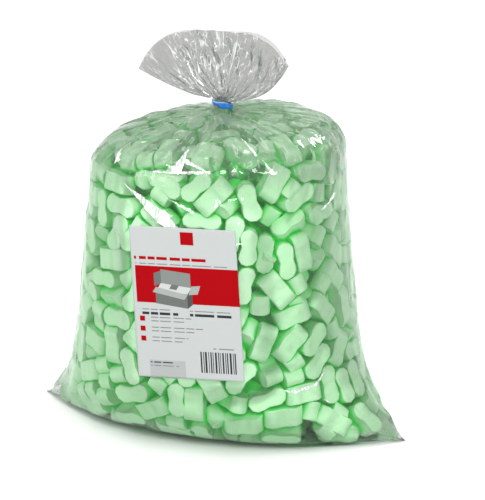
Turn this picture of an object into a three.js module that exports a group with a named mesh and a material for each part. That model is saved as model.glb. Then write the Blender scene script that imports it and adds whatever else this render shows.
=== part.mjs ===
// A clear film bag of loose-fill packing peanuts, gathered at the neck by a tie, with a paper label on the front.
// Millimetres, +Z up, the label faces -Y. The origin is the middle of the underside.
import * as THREE from "three";
import { mergeVertices } from "three/addons/utils/BufferGeometryUtils.js";

// Film bag
const FILM = 0.3; // wall, thicker than the real film so that it stays a sound solid
const AROUND = 36; // points round each section, a multiple of 4
const SEAL_HALF = 185; // half of the bottom seal, from the middle to a corner
const CORNER_LIFT = 1.5; // the two bottom corners stand this far off the floor
const PATCH_HALF_DEPTH = 51; // half depth of the flat patch that the bag rests on
const BELLY = { height: 52, sideHeight: 72, halfWidth: 142, halfDepth: 116, point: 0.98 };
const CORNER_POINT = 0.75; // how pointed the lowest section is
const UNDERSIDE_RINGS = 8;
// Sections above the belly: height at the front, height at the sides, half width, half depth, and how pointed.
const SIDES = [
  [86, 98, 136, 117, 0.92],
  [124, 128, 131, 117, 0.84],
  [166, 166, 127, 115.5, 0.82],
  [206, 206, 124, 113.5, 0.82],
  [242, 242, 122.5, 111.5, 0.88],
  [262, 262, 124, 109, 1],
  [276, 276, 118.5, 103.5, 1],
  [286, 286, 106.5, 93, 1],
  [293, 293, 89, 78, 1],
  [298, 298, 66, 58, 1],
  [302, 302, 41, 37, 1],
  [304.5, 304.5, 18, 17, 1],
];
const NECK = { height: 313, radius: 7 };
const NECK_RINGS = [
  [-4.6, 1.25],
  [-3.7, 1],
  [3.7, 1],
  [4.6, 1.12],
];
const MOUTH = { halfWidth: 76, halfDepth: 27, sideHeight: 347, height: 383, arch: 4 };
const FLARE_RINGS = 6;
const BODY_LEAN = -6.5; // the filled body leans a little to one side over its seal
const NECK_LEAN = -3;
const MOUTH_LEAN = -11;
const TILT = 0.12; // the top and the flare stand a little higher on the right
const TILT_FROM = 225;
const TILT_FULL = 285;

// Loose fill
const FILL_CLEARANCE = 1.2; // between the film and the fill
const FILL_TOP_RING = 10; // of the sections above the belly, the last that the fill reaches

// Label, an A6 sheet
const LABEL = { width: 105, height: 148, thickness: 0.25, gap: 0.3, x: 5, z: 149.5, turn: 3.8 };
const LABEL_COLUMNS = 10;
const LABEL_ROWS = 12;

// Tie
const TIE = { height: 6.6, wall: 1.6, gap: 0.4, tailLength: 7, tailWidth: 3.4 };

const FILM_CLEAR = new THREE.MeshStandardMaterial({
  color: 0xc4cac6,
  roughness: 0.12,
  metalness: 0,
  transparent: true,
  opacity: 0.35,
});
const FOAM_GREEN = new THREE.MeshStandardMaterial({ color: 0xb5e8b8, roughness: 0.7, metalness: 0 });
const LABEL_PAPER = new THREE.MeshStandardMaterial({ color: 0xdde0e0, roughness: 0.6, metalness: 0 });
const TIE_BLUE = new THREE.MeshStandardMaterial({ color: 0x0c5fc4, roughness: 0.35, metalness: 0 });

// Each section of the bag, from the seal up to the mouth, as { front, side, width, depth, point, lean }.
function sections() {
  const rings = [];
  for (let i = 0; i <= UNDERSIDE_RINGS; i += 1) {
    const share = i / UNDERSIDE_RINGS;
    const turn = (Math.max(0, i - 1) / (UNDERSIDE_RINGS - 1)) * (Math.PI / 2);
    const curved = BELLY.halfDepth - PATCH_HALF_DEPTH;
    rings.push({
      front: BELLY.height * (1 - Math.cos(turn)),
      side: CORNER_LIFT + (BELLY.sideHeight - CORNER_LIFT) * share,
      width: BELLY.halfWidth + (SEAL_HALF - BELLY.halfWidth) * (1 - share) ** 1.6,
      depth: i === 0 ? 0 : PATCH_HALF_DEPTH + curved * Math.sin(turn),
      point: BELLY.point + (CORNER_POINT - BELLY.point) * (1 - share),
      arch: 6 - 3 * share,
      lean: BODY_LEAN * share,
    });
  }
  for (const [front, side, width, depth, point] of SIDES)
    rings.push({ front, side, width, depth, point, lean: BODY_LEAN });
  for (const [rise, share] of NECK_RINGS) {
    const height = NECK.height + rise;
    const radius = NECK.radius * share;
    rings.push({ front: height, side: height, width: radius, depth: radius, point: 1, lean: NECK_LEAN });
  }
  const start = rings[rings.length - 1];
  for (let i = 1; i <= FLARE_RINGS; i += 1) {
    const share = i / FLARE_RINGS;
    rings.push({
      front: start.front + (MOUTH.height - start.front) * share,
      side: start.front + (MOUTH.sideHeight - start.front) * share ** 1.2,
      width: start.width + (MOUTH.halfWidth - start.width) * share ** 0.75,
      depth: start.depth + (MOUTH.halfDepth - start.depth) * share,
      point: 1,
      arch: MOUTH.arch,
      lean: NECK_LEAN + (MOUTH_LEAN - NECK_LEAN) * share,
    });
  }
  return rings;
}

// A point on a section, at an angle that runs from the +X side round by the back.
function sectionPoint(ring, angle) {
  const c = Math.cos(angle);
  const s = Math.sin(angle);
  const reach = Math.abs(s);
  const blend = Math.abs(c) ** (ring.arch ?? 3);
  const x = ring.width * c + ring.lean;
  const y = ring.depth * Math.sign(s) * reach ** ring.point;
  const tilt = TILT * THREE.MathUtils.smoothstep(ring.front, TILT_FROM, TILT_FULL);
  const atNeck = Math.abs(ring.front - NECK.height) < 5 ? 0 : tilt;
  return new THREE.Vector3(x, y, ring.front + (ring.side - ring.front) * blend + atNeck * (x - ring.lean));
}

// The skin of the bag as points and triangles, facing out. The first ring is folded shut along the seal.
function skin(rings) {
  const points = [];
  const rows = [];
  for (const [level, ring] of rings.entries()) {
    const row = [];
    for (let k = 0; k < AROUND; k += 1) {
      const mirrored = AROUND - k;
      if (level === 0 && k > AROUND / 2) {
        row.push(row[mirrored]);
        continue;
      }
      const p = sectionPoint(ring, (k / AROUND) * 2 * Math.PI);
      if (level === 0) {
        p.y = 0;
        p.z = CORNER_LIFT * Math.max(0, (Math.abs(p.x) - 130) / (SEAL_HALF - 130)) ** 2;
      }
      row.push(points.length);
      points.push(p);
    }
    rows.push(row);
  }
  const faces = [];
  for (let level = 0; level + 1 < rows.length; level += 1) {
    for (let k = 0; k < AROUND; k += 1) {
      const next = (k + 1) % AROUND;
      const [a, b] = [rows[level][k], rows[level][next]];
      const [c, d] = [rows[level + 1][next], rows[level + 1][k]];
      if (a === b) faces.push([a, c, d]);
      else if (a === d) faces.push([a, b, c]);
      else if (b === c) faces.push([a, b, d]);
      else faces.push([a, b, c], [a, c, d]);
    }
  }
  return { points, rows, faces };
}

// Moves every point so that each face round it shifts by the same distance, which mitres creases and corners.
function offset(points, faces, distance) {
  const sums = points.map(() => ({ m: new Array(9).fill(0), v: new THREE.Vector3() }));
  for (const [a, b, c] of faces) {
    const edge = points[b].clone().sub(points[a]);
    const normal = edge.cross(points[c].clone().sub(points[a]));
    if (normal.length() < 1e-9) continue;
    normal.normalize();
    const n = normal.toArray();
    for (const i of [a, b, c]) {
      sums[i].v.add(normal);
      for (let r = 0; r < 3; r += 1) {
        for (let q = 0; q < 3; q += 1) sums[i].m[3 * r + q] += n[r] * n[q];
      }
    }
  }
  return points.map((p, i) => {
    const { m, v } = sums[i];
    const soft = 0.02 * (m[0] + m[4] + m[8]);
    const matrix = new THREE.Matrix3().fromArray(m);
    for (const d of [0, 4, 8]) matrix.elements[d] += soft;
    const step = v.clone().applyMatrix3(matrix.clone().invert());
    return p.clone().addScaledVector(step, distance);
  });
}

function solid(points, faces) {
  const geometry = new THREE.BufferGeometry().setFromPoints(points);
  geometry.setIndex(faces.flat());
  const welded = mergeVertices(geometry, 1e-4);
  welded.computeVertexNormals();
  return welded;
}

// The film: the outer skin, the same skin moved in by the wall, and the rim of the open mouth between them.
function filmGeometry(rings) {
  const outer = skin(rings);
  const count = outer.points.length;
  const inner = offset(outer.points, outer.faces, -FILM);
  const faces = [...outer.faces];
  for (const [a, b, c] of outer.faces) faces.push([a + count, c + count, b + count]);
  const rim = outer.rows[outer.rows.length - 1];
  for (let k = 0; k < AROUND; k += 1) {
    const [a, b] = [rim[k], rim[(k + 1) % AROUND]];
    faces.push([a, b, b + count], [a, b + count, a + count]);
  }
  return solid([...outer.points, ...inner], faces);
}

// The loose fill as one settled mass, a little inside the film and closed over at the top.
function fillGeometry(rings) {
  const last = UNDERSIDE_RINGS + FILL_TOP_RING;
  const outer = skin(rings.slice(0, last + 1));
  const points = offset(outer.points, outer.faces, -FILM - FILL_CLEARANCE);
  const rim = outer.rows[last];
  const crown = new THREE.Vector3();
  for (const i of rim) crown.addScaledVector(points[i], 1 / AROUND);
  crown.z += 1.5;
  const top = points.push(crown) - 1;
  const faces = [...outer.faces];
  for (let k = 0; k < AROUND; k += 1) faces.push([rim[k], rim[(k + 1) % AROUND], top]);
  return solid(points, faces);
}

// How far the front of the bag stands out at a given x and height, on the film's outer skin.
function frontDepth(rings, x, z) {
  const above = rings.findIndex((ring) => ring.front >= z);
  const low = rings[above - 1];
  const high = rings[above];
  const t = (z - low.front) / (high.front - low.front);
  const mix = (key) => low[key] + (high[key] - low[key]) * t;
  const across = (x - mix("lean")) / mix("width");
  return mix("depth") * (1 - across ** 2) ** (mix("point") / 2);
}

// The label: a sheet of paper that lies on the front of the film and bends with it.
function labelGeometry(rings) {
  const turn = THREE.MathUtils.degToRad(LABEL.turn);
  const points = [];
  const faces = [];
  for (const stand of [LABEL.gap + LABEL.thickness, LABEL.gap]) {
    for (let j = 0; j <= LABEL_ROWS; j += 1) {
      for (let i = 0; i <= LABEL_COLUMNS; i += 1) {
        const u = (i / LABEL_COLUMNS - 0.5) * LABEL.width;
        const v = (j / LABEL_ROWS - 0.5) * LABEL.height;
        const x = LABEL.x + u * Math.cos(turn) - v * Math.sin(turn);
        const z = LABEL.z + u * Math.sin(turn) + v * Math.cos(turn);
        points.push(new THREE.Vector3(x, -frontDepth(rings, x, z) - stand, z));
      }
    }
  }
  const across = LABEL_COLUMNS + 1;
  const back = across * (LABEL_ROWS + 1);
  const quad = (a, b, c, d) => faces.push([a, b, c], [a, c, d]);
  for (let j = 0; j < LABEL_ROWS; j += 1) {
    for (let i = 0; i < LABEL_COLUMNS; i += 1) {
      const a = j * across + i;
      quad(a, a + 1, a + across + 1, a + across);
      quad(back + a, back + a + across, back + a + across + 1, back + a + 1);
    }
  }
  const edge = (a, b) => quad(a, back + a, back + b, b);
  for (let i = 0; i < LABEL_COLUMNS; i += 1) {
    edge(i, i + 1);
    edge(LABEL_ROWS * across + i + 1, LABEL_ROWS * across + i);
  }
  for (let j = 0; j < LABEL_ROWS; j += 1) {
    edge((j + 1) * across, j * across);
    edge(j * across + LABEL_COLUMNS, (j + 1) * across + LABEL_COLUMNS);
  }
  return solid(points, faces);
}

// The tie: a band round the neck whose two ends are pressed together into a short tail.
function tieGeometry() {
  const inside = NECK.radius + TIE.gap;
  const outside = inside + TIE.wall;
  const half = TIE.tailWidth / 2;
  const start = Math.asin(half / outside);
  const outline = new THREE.Shape();
  outline.absarc(0, 0, outside, start, 2 * Math.PI - start, false);
  outline.lineTo(outside + TIE.tailLength, -half * 0.8);
  outline.lineTo(outside + TIE.tailLength, half * 0.8);
  outline.closePath();
  const hole = new THREE.Path();
  hole.absarc(0, 0, inside, 0, 2 * Math.PI, true);
  outline.holes.push(hole);
  const edge = 0.5;
  const band = new THREE.ExtrudeGeometry(outline, {
    depth: TIE.height - 2 * edge,
    bevelThickness: edge,
    bevelSize: 0.35,
    bevelOffset: -0.35,
    bevelSegments: 1,
    curveSegments: 12,
  });
  band.translate(0, 0, edge - TIE.height / 2);
  band.rotateZ(THREE.MathUtils.degToRad(-28));
  band.translate(NECK_LEAN, 0, NECK.height);
  band.deleteAttribute("normal");
  band.deleteAttribute("uv");
  return mergeVertices(band, 1e-4);
}

const rings = sections();
const group = new THREE.Group();
const pieces = [
  ["bag_film", filmGeometry(rings), FILM_CLEAR],
  ["peanut_fill", fillGeometry(rings), FOAM_GREEN],
  ["front_label", labelGeometry(rings), LABEL_PAPER],
  ["neck_tie", tieGeometry(), TIE_BLUE],
];
for (const [name, geometry, material] of pieces) {
  const mesh = new THREE.Mesh(geometry, material);
  mesh.name = name;
  group.add(mesh);
}

// Centre the whole over the origin, label and all.
const box = new THREE.Box3().setFromObject(group);
group.position.set(-(box.min.x + box.max.x) / 2, -(box.min.y + box.max.y) / 2, -box.min.z);

export default group;
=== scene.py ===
"""A clear film bag of foam packing peanuts, tied at the neck, with a printed label: its looks."""

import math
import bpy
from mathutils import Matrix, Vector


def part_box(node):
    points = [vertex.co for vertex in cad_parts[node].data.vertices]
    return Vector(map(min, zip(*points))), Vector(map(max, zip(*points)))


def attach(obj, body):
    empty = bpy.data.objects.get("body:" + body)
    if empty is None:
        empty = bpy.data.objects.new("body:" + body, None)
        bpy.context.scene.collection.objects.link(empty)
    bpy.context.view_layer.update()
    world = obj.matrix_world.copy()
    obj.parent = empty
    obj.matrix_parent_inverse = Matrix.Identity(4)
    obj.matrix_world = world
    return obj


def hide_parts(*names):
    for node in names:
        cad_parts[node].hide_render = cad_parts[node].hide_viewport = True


bl_info = {
    "name": "Packing Peanut Bag",
    "version": (1, 0, 0),
    "blender": (4, 5, 0),
    "location": "View3D > Sidebar > Peanut Bag",
    "description": "Builds a tied film bag filled with foam packing peanuts",
    "category": "Add Mesh",
}

import bpy
import numpy as np
from bpy.props import FloatProperty, FloatVectorProperty, IntProperty, PointerProperty
from mathutils import Matrix, Vector

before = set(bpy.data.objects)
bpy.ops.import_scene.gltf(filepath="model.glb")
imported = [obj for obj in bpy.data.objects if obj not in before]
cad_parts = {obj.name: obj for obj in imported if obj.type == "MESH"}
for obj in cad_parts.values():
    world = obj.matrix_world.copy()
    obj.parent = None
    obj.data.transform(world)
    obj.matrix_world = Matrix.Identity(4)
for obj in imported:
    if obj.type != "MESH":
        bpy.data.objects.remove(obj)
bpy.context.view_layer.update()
FILL_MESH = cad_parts["peanut_fill"].data
TIE_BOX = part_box("neck_tie")
LABEL_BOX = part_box("front_label")

# ---------------------------------------------------------------- colours and node helpers


def linear(hex_colour):
    """An sRGB hex colour as linear RGBA."""
    value = hex_colour.lstrip("#")
    out = []
    for k in (0, 2, 4):
        c = int(value[k : k + 2], 16) / 255
        out.append(c / 12.92 if c <= 0.04045 else ((c + 0.055) / 1.055) ** 2.4)
    return (*out, 1.0)


def node(tree, kind, settings=None, **inputs):
    """Adds a node, sets its properties, and sets or links its inputs. An input may be named by number, as
    i0."""
    n = tree.nodes.new(kind)
    for key, value in (settings or {}).items():
        setattr(n, key, value)
    for key, value in inputs.items():
        if key[0] == "i" and key[1:].isdigit():
            socket = n.inputs[int(key[1:])]
        else:
            socket = n.inputs[key.replace("_", " ")]
        if isinstance(value, bpy.types.NodeSocket):
            tree.links.new(value, socket)
        else:
            socket.default_value = value
    return n


def maths(tree, operation, *values, clamp=False):
    """The result of a maths node on numbers or on other nodes' results."""
    inputs = {f"i{k}": value for k, value in enumerate(values)}
    return node(tree, "ShaderNodeMath", {"operation": operation, "use_clamp": clamp}, **inputs).outputs[0]


def vector_maths(tree, operation, *values):
    """The result of a vector maths node: a vector, or a number for a dot product."""
    inputs = {f"i{k}": value for k, value in enumerate(values)}
    outputs = node(tree, "ShaderNodeVectorMath", {"operation": operation}, **inputs).outputs
    return outputs["Value" if operation == "DOT_PRODUCT" else 0]


def blend(tree, share, under, over):
    """A colour that goes from under to over with the share."""
    return node(tree, "ShaderNodeMix", {"data_type": "RGBA"}, i0=share, i6=under, i7=over).outputs[2]


def remap(tree, value, low, high, start=0.0, end=1.0, how="LINEAR"):
    """A value's place between low and high, as a number between start and end."""
    settings = {"interpolation_type": how}
    return node(tree, "ShaderNodeMapRange", settings, i0=value, i1=low, i2=high, i3=start, i4=end).outputs[0]


def noise(tree, place, scale, detail, settings=None, distortion=0.0, pick="Fac"):
    """Noise at a place, as a number or a colour."""
    inputs = {"Scale": scale, "Detail": detail, "Distortion": distortion}
    return node(tree, "ShaderNodeTexNoise", settings, i0=place, **inputs).outputs[pick]


def stretched(tree, uv, across, along, turn=0.0):
    """Coordinates scaled across and along the sheet, and turned."""
    size = (across, along, 1.0)
    return node(tree, "ShaderNodeMapping", i0=uv, Rotation=(0, 0, turn), Scale=size).outputs[0]


def bumped(tree, strength, distance, height, under=None):
    """Normals bent by a height, so many metres high, on top of other bent normals."""
    under = {} if under is None else {"Normal": under}
    inputs = {"Strength": strength, "Distance": distance, "Height": height}
    return node(tree, "ShaderNodeBump", **inputs, **under).outputs[0]


def attribute(tree, name):
    """A number that the mesh carries at each point."""
    return node(tree, "ShaderNodeAttribute", {"attribute_name": name}).outputs["Fac"]


def new_material(name):
    """An empty node material and its tree."""
    mat = bpy.data.materials.new(name)
    mat.use_nodes = True
    mat.node_tree.nodes.clear()
    return mat, mat.node_tree


def output(tree, shader):
    """Links a shader to the material's surface."""
    node(tree, "ShaderNodeOutputMaterial", i0=shader)


# ---------------------------------------------------------------- the bag's shape, in millimetres

SEAL_HALF, CORNER_LIFT, CORNER_FROM, PATCH_HALF = 185.0, 1.5, 130.0, 51.0
BELLY = {"height": 52.0, "side": 72.0, "width": 142.0, "depth": 116.0, "point": 0.98}
UNDERSIDE = 8
# height at the front, height at the sides, half width, half depth, how pointed
SIDES = np.array(
    [
        [86, 98, 136, 117, 0.92],
        [124, 128, 131, 117, 0.84],
        [166, 166, 127, 115.5, 0.82],
        [206, 206, 124, 113.5, 0.82],
        [242, 242, 122.5, 111.5, 0.88],
        [262, 262, 124, 109, 1],
        [276, 276, 118.5, 103.5, 1],
        [286, 286, 106.5, 93, 1],
        [293, 293, 89, 78, 1],
        [298, 298, 66, 58, 1],
        [302, 302, 41, 37, 1],
        [304.5, 304.5, 18, 17, 1],
    ],
    float,
)
NECK_HEIGHT, NECK_RADIUS = 313.0, 7.0
NECK_RINGS = ((-4.6, 1.25), (-3.7, 1.0), (3.7, 1.0), (4.6, 1.12))
MOUTH = {"width": 76.0, "depth": 27.0, "side": 347.0, "height": 383.0, "arch": 4.0}
FLARE = 6
BODY_LEAN, NECK_LEAN, MOUTH_LEAN = -6.5, -3.0, -11.0
TILT, TILT_FROM, TILT_FULL = 0.12, 225.0, 285.0
CORNER_POINT = 0.75
LABEL_SIZE = (105.0, 148.0)
GIRTH = 790.0  # round the film tube
SHOULDER = 236.0  # the height from which the film is gathered towards the neck
NECK_FOOT = 304.0  # the height at which the body ends and the neck begins
NECK_LEVEL = UNDERSIDE + 1 + len(SIDES)  # row numbers of the neck's first section and of the flare's foot
FLARE_LEVEL = NECK_LEVEL + len(NECK_RINGS) - 1


def smoothstep(x, low, high):
    """0 below low, 1 above high, and a smooth cubic between."""
    t = np.clip((x - low) / (high - low), 0, 1)
    return t * t * (3 - 2 * t)


def sections():
    """The bag's sections from the seal to the mouth, one row each: front height, side height, half width,
    half depth, point, lean, arch."""
    rows = []
    for i in range(UNDERSIDE + 1):
        share = i / UNDERSIDE
        turn = max(0, i - 1) / (UNDERSIDE - 1) * math.pi / 2
        rows.append(
            [
                BELLY["height"] * (1 - math.cos(turn)),
                CORNER_LIFT + (BELLY["side"] - CORNER_LIFT) * share,
                BELLY["width"] + (SEAL_HALF - BELLY["width"]) * (1 - share) ** 1.6,
                0 if i == 0 else PATCH_HALF + (BELLY["depth"] - PATCH_HALF) * math.sin(turn),
                BELLY["point"] + (CORNER_POINT - BELLY["point"]) * (1 - share),
                BODY_LEAN * share,
                6.0 - 3.0 * share,
            ]
        )
    for front, side, width, depth, point in SIDES:
        rows.append([front, side, width, depth, point, BODY_LEAN, 3.0])
    for rise, share in NECK_RINGS:
        z, r = NECK_HEIGHT + rise, NECK_RADIUS * share
        rows.append([z, z, r, r, 1, NECK_LEAN, 3.0])
    z0, _, w0, d0 = rows[-1][:4]
    for i in range(1, FLARE + 1):
        s = i / FLARE
        rows.append(
            [
                z0 + (MOUTH["height"] - z0) * s,
                z0 + (MOUTH["side"] - z0) * s**1.2,
                w0 + (MOUTH["width"] - w0) * s**0.75,
                d0 + (MOUTH["depth"] - d0) * s,
                1,
                NECK_LEAN + (MOUTH_LEAN - NECK_LEAN) * s,
                MOUTH["arch"],
            ]
        )
    return np.array(rows, float)


def through(rows, at):
    """A smooth curve through the rows at fractional row numbers: cubic Hermite pieces whose slopes are the
    harmonic mean of the two steps beside each row, or zero where they turn, so the curve never
    overshoots."""
    step = np.diff(rows, axis=0)
    slope = np.zeros_like(rows)
    a, b = step[:-1], step[1:]
    same = a * b > 0
    slope[1:-1] = np.where(same, 2 * a * b / np.where(same, a + b, 1), 0)
    slope[0], slope[-1] = step[0], step[-1]
    i = np.clip(np.floor(at).astype(int), 0, len(rows) - 2)
    t = (at - i)[..., None]
    h00, h10 = (1 + 2 * t) * (1 - t) ** 2, t * (1 - t) ** 2
    h01, h11 = t * t * (3 - 2 * t), t * t * (t - 1)
    return h00 * rows[i] + h10 * slope[i] + h01 * rows[i + 1] + h11 * slope[i + 1]


RINGS = sections()


def bag_point(angle, level):
    """A point on the bag's skin. The section at this level is an ellipse, x = width cos and y = depth sin,
    with sin raised to the section's point, which makes the front flatter or rounder. Its height goes from
    the front's to the sides' with a power of cos, and the top is sheared a little to one side."""
    front, side, width, depth, point, lean, arch = np.moveaxis(through(RINGS, level), -1, 0)
    c, s = np.cos(angle), np.sin(angle)
    x = width * c
    y = depth * np.sign(s) * np.abs(s) ** point
    z = front + (side - front) * np.abs(c) ** arch
    near_seal = np.clip(1 - level, 0, 1)
    lift = CORNER_LIFT * np.clip((np.abs(x) - CORNER_FROM) / (SEAL_HALF - CORNER_FROM), 0, None) ** 2
    z = z * (1 - near_seal) + lift * near_seal
    off_neck = smoothstep(np.abs(front - NECK_HEIGHT), 3.5, 9.0)
    z = z + TILT * smoothstep(front, TILT_FROM, TILT_FULL) * off_neck * x
    return np.stack([x + lean, y, z], -1)


# ---------------------------------------------------------------- settling the foam pieces

# A piece: half the gap between its lobes' centres, a lobe's radius, half its waist, half its depth, its
# soft edge.
HALF_GAP, LOBE, WAIST, HALF_DEPTH, EDGE = 9.6, 9.4, 7.4, 9.6, 1.5
# A step's pull down and its pull outwards, the pull that stays to the end, and the share of each correction
# made.
SINK_PULL, OUTWARD_PULL, LAST_PULL = 0.05, 0.22, 0.09
RELAX_EARLY, RELAX_LATE = 1.25, 0.8


def turned(q):
    """Rotation matrices from unit quaternions."""
    w, x, y, z = q.T
    m = [1 - 2 * (y * y + z * z), 2 * (x * y - w * z), 2 * (x * z + w * y)]
    m += [2 * (x * y + w * z), 1 - 2 * (x * x + z * z), 2 * (y * z - w * x)]
    m += [2 * (x * z - w * y), 2 * (y * z + w * x), 1 - 2 * (x * x + y * y)]
    return np.stack(m, -1).reshape(-1, 3, 3)


def feelers():
    """Points on a piece's hull that feel for its neighbours: ten round the outline at three depths, and the
    middle of each lobe on both ends."""
    a = np.radians([-80, -40, 0, 40, 80])
    right = np.stack([HALF_GAP + LOBE * np.cos(a), LOBE * np.sin(a)], -1)
    ring = np.concatenate([right, -right])
    layers = [np.c_[ring, np.full(len(ring), z)] for z in (-HALF_DEPTH, 0, HALF_DEPTH)]
    ends = [[s * HALF_GAP, 0, z] for s in (-1, 1) for z in (-HALF_DEPTH, HALF_DEPTH)]
    return np.concatenate([*layers, ends])


def sink(q):
    """How deep local points lie inside a piece, and the way out: by the outline's side or the end face."""
    across = q[..., 0] - np.clip(q[..., 0], -HALF_GAP, HALF_GAP)
    length = np.hypot(across, q[..., 1]) + 1e-9
    side, end = LOBE - length, HALF_DEPTH - np.abs(q[..., 2])
    by_side = side < end
    out = np.stack([across / length, q[..., 1] / length, np.zeros_like(length)], -1)
    up = np.zeros_like(q)
    up[..., 2] = np.sign(q[..., 2])
    return np.where(by_side, side, end), np.where(by_side[..., None], out, up)


class Container:
    """Signed distance inside the fill's solid on a regular grid, from the nearest of many points on its
    faces."""

    def __init__(self, step=6.0):
        surface, normal = container_points()
        low, high = surface.min(0) - 14, surface.max(0) + 14
        self.low, self.step = low, step
        self.count = np.ceil((high - low) / step).astype(int) + 1
        axes = [low[k] + step * np.arange(self.count[k]) for k in range(3)]
        grid = np.stack(np.meshgrid(*axes, indexing="ij"), -1).reshape(-1, 3)
        inside = np.empty(len(grid))
        square = (surface**2).sum(1)
        for k in range(0, len(grid), 4096):
            part = grid[k : k + 4096]
            near = (square - 2 * part @ surface.T).argmin(1)
            inside[k : k + 4096] = -((part - surface[near]) * normal[near]).sum(1)
        self.inside = inside.reshape(self.count)
        slope = np.stack(np.gradient(self.inside, step), -1)
        self.inward = slope / np.maximum(np.linalg.norm(slope, axis=-1, keepdims=True), 1e-6)

    def at(self, p):
        """Distance inside and inward direction at points, blended between the eight grid corners."""
        u = (p - self.low) / self.step
        i = np.clip(np.floor(u).astype(int), 0, self.count - 2)
        f = np.clip(u - i, 0, 1)
        depth, way = 0, 0
        for corner in np.ndindex(2, 2, 2):
            share = np.prod(np.where(corner, f, 1 - f), axis=-1)
            j = tuple((i + corner)[..., k] for k in range(3))
            depth = depth + share * self.inside[j]
            way = way + share[..., None] * self.inward[j]
        return depth, way


def container_points():
    """Evenly spread points on the fill solid's faces, in millimetres, with their faces' normals: each
    triangle gets a number by its area, at fractions of the plastic-number sequence."""
    mesh = FILL_MESH
    co = np.empty(len(mesh.vertices) * 3, np.float32)
    mesh.vertices.foreach_get("co", co)
    mesh.calc_loop_triangles()
    tri = np.empty(len(mesh.loop_triangles) * 3, np.int32)
    mesh.loop_triangles.foreach_get("vertices", tri)
    a, b, c = np.moveaxis(co.reshape(-1, 3).astype(float)[tri.reshape(-1, 3)] * 1000, 1, 0)
    cross = np.cross(b - a, c - a)
    area = np.linalg.norm(cross, axis=1) / 2
    count = np.maximum(1, np.round(area / 64)).astype(int)
    which = np.repeat(np.arange(len(a)), count)
    k = np.arange(len(which))
    u, v = (0.7548776662 * k) % 1, (0.5698402910 * k) % 1
    flip = u + v > 1
    u, v = np.where(flip, 1 - u, u)[:, None], np.where(flip, 1 - v, v)[:, None]
    points = a[which] + u * (b - a)[which] + v * (c - a)[which]
    return points, (cross / np.maximum(2 * area, 1e-9)[:, None])[which]


def pushes(ids, place, arm_from, move, count, weight=1.0):
    """Sums moves on each piece, and their turning about its middle, with the totals that average them."""
    arm = place - arm_from[ids]
    turn = np.cross(arm, move)
    cols = [np.bincount(ids, c, count) for c in (*move.T, *turn.T)]
    number = np.bincount(ids, minlength=count)
    reach = np.bincount(ids, (arm**2).sum(1), count)
    return weight * np.stack([*cols, number, reach], -1)


def settle(container, count, steps, seed):
    """Poses of the foam pieces after settling: they start small at random places and grow to full size. In
    each step every overlap between two pieces or with the film moves and turns both by the mean of what
    clears it."""
    rng = np.random.default_rng(seed)
    size = 1 + 0.03 * np.clip(rng.normal(size=count), -1.6, 1.6)
    low, high = container.low, container.low + container.step * (container.count - 1)
    p = np.empty((0, 3))
    while len(p) < count:
        tried = low + (high - low) * rng.random((4 * count, 3))
        p = np.concatenate([p, tried[container.at(tried)[0] > 9]])
    p = p[:count]
    q = rng.normal(size=(count, 4))
    q /= np.linalg.norm(q, axis=1, keepdims=True)
    base = feelers()
    reach = 2 * (np.hypot(HALF_GAP + LOBE, HALF_DEPTH) + 2)
    for step in range(steps):
        t = step / steps
        grow = min(1.0, 0.55 + 0.45 * t / 0.5)
        s = grow * size
        turn = turned(q)
        if step % 8 == 0:
            gap = np.linalg.norm(p[:, None] - p[None], axis=-1)
            near = (gap < reach * min(1.03, grow + 0.08)) & ~np.eye(count, dtype=bool)
            one, two = np.nonzero(near)
        world = np.einsum("nij,nkj->nki", turn, base[None] * s[:, None, None]) + p[:, None]
        local = np.einsum("mki,mij->mkj", world[two] - p[one][:, None], turn[one]) / s[one][:, None, None]
        deep, out = sink(local)
        m, k = np.nonzero(deep > 0)
        move = np.einsum("mij,mj->mi", turn[one[m]], out[m, k]) * (0.5 * deep[m, k] * s[one[m]])[:, None]
        place = world[two[m], k]
        total = pushes(two[m], place, p, move, count) + pushes(one[m], place, p, -move, count)
        room, inward = container.at(world)
        a, b = np.nonzero(room < 0)
        total += pushes(a, world[a, b], p, -room[a, b][:, None] * inward[a, b], count, 2.0)
        relax = RELAX_EARLY if t < 0.85 else RELAX_LATE
        p = p + relax * total[:, :3] / np.maximum(total[:, 6], 2)[:, None]
        p[:, 2] -= SINK_PULL * (1 - t)
        room, inward = container.at(p)
        p -= (OUTWARD_PULL * (room < 34) * (1 - t) + LAST_PULL)[:, None] * inward
        half = 0.5 * relax * 0.8 * total[:, 3:6] / np.maximum(total[:, 7], 200)[:, None]
        x, y, z = half.T
        w1, x1, y1, z1 = q.T
        q = np.stack(
            [
                w1 - x * x1 - y * y1 - z * z1,
                x1 + x * w1 + y * z1 - z * y1,
                y1 - x * z1 + y * w1 + z * x1,
                z1 + x * y1 - y * x1 + z * w1,
            ],
            -1,
        )
        q /= np.linalg.norm(q, axis=1, keepdims=True)
    return p, turned(q), size


# ---------------------------------------------------------------- meshes


def grid_faces(rows, columns, wrap):
    """Quads of a grid, wound so that they face out when rows rise and columns turn left."""
    i = np.arange(rows - 1)[:, None]
    j = np.arange(columns if wrap else columns - 1)[None]
    k = (j + 1) % columns
    quad = np.stack([i * columns + j, i * columns + k, (i + 1) * columns + k, (i + 1) * columns + j], -1)
    return quad.reshape(-1, 4)


def put_mesh(name, points, faces, smooth=True):
    """A new object from arrays of points in millimetres and of faces."""
    mesh = bpy.data.meshes.new(name)
    mesh.from_pydata((points / 1000).tolist(), [], faces if isinstance(faces, list) else faces.tolist())
    mesh.polygons.foreach_set("use_smooth", np.full(len(mesh.polygons), smooth))
    mesh.update()
    obj = bpy.data.objects.new(name, mesh)
    bpy.context.scene.collection.objects.link(obj)
    return obj


def set_uv(obj, uv_of_loop, name="UVMap"):
    """Gives a mesh its own UV map from one pair for each face corner."""
    layer = obj.data.uv_layers.new(name=name)
    layer.data.foreach_set("uv", uv_of_loop.astype(np.float32).ravel())


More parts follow.
